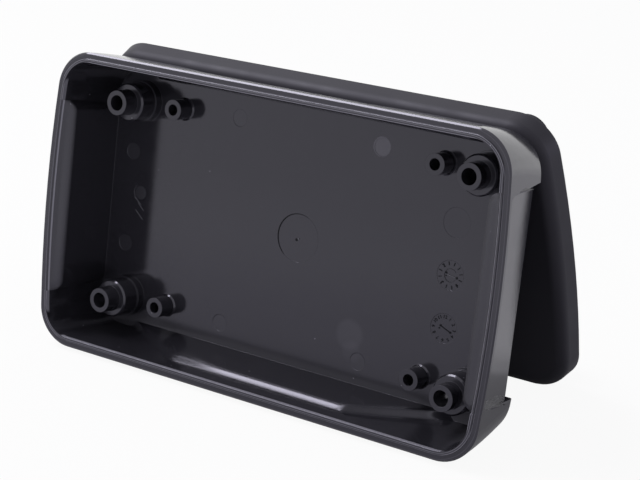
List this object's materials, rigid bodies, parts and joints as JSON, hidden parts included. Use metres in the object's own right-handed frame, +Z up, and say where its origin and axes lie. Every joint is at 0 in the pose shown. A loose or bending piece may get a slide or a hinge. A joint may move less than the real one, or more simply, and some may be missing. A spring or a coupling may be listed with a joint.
{
  "type": "two-piece plastic enclosure",
  "caption": "Black moulded instrument enclosure shown open: a deep shell with screw bosses and board posts, its shallow cover leaning behind it.",
  "frame": {"origin": "centre of the base of the standing pair's bounding box, on the surface it stands on", "axes": "+X along the length, to the right as seen; -Y towards the viewer, where the open side of the front shell looks; +Z up"},
  "size_m": [0.133, 0.0666, 0.074],
  "materials": {
    "tray_abs": "black ABS, polished inside and fine satin outside",
    "cover_abs": "black ABS, fine satin outside"
  },
  "bodies": {
    "root": {"base_tray": "tray_abs", "cover": "cover_abs"}
  },
  "joints": []
}
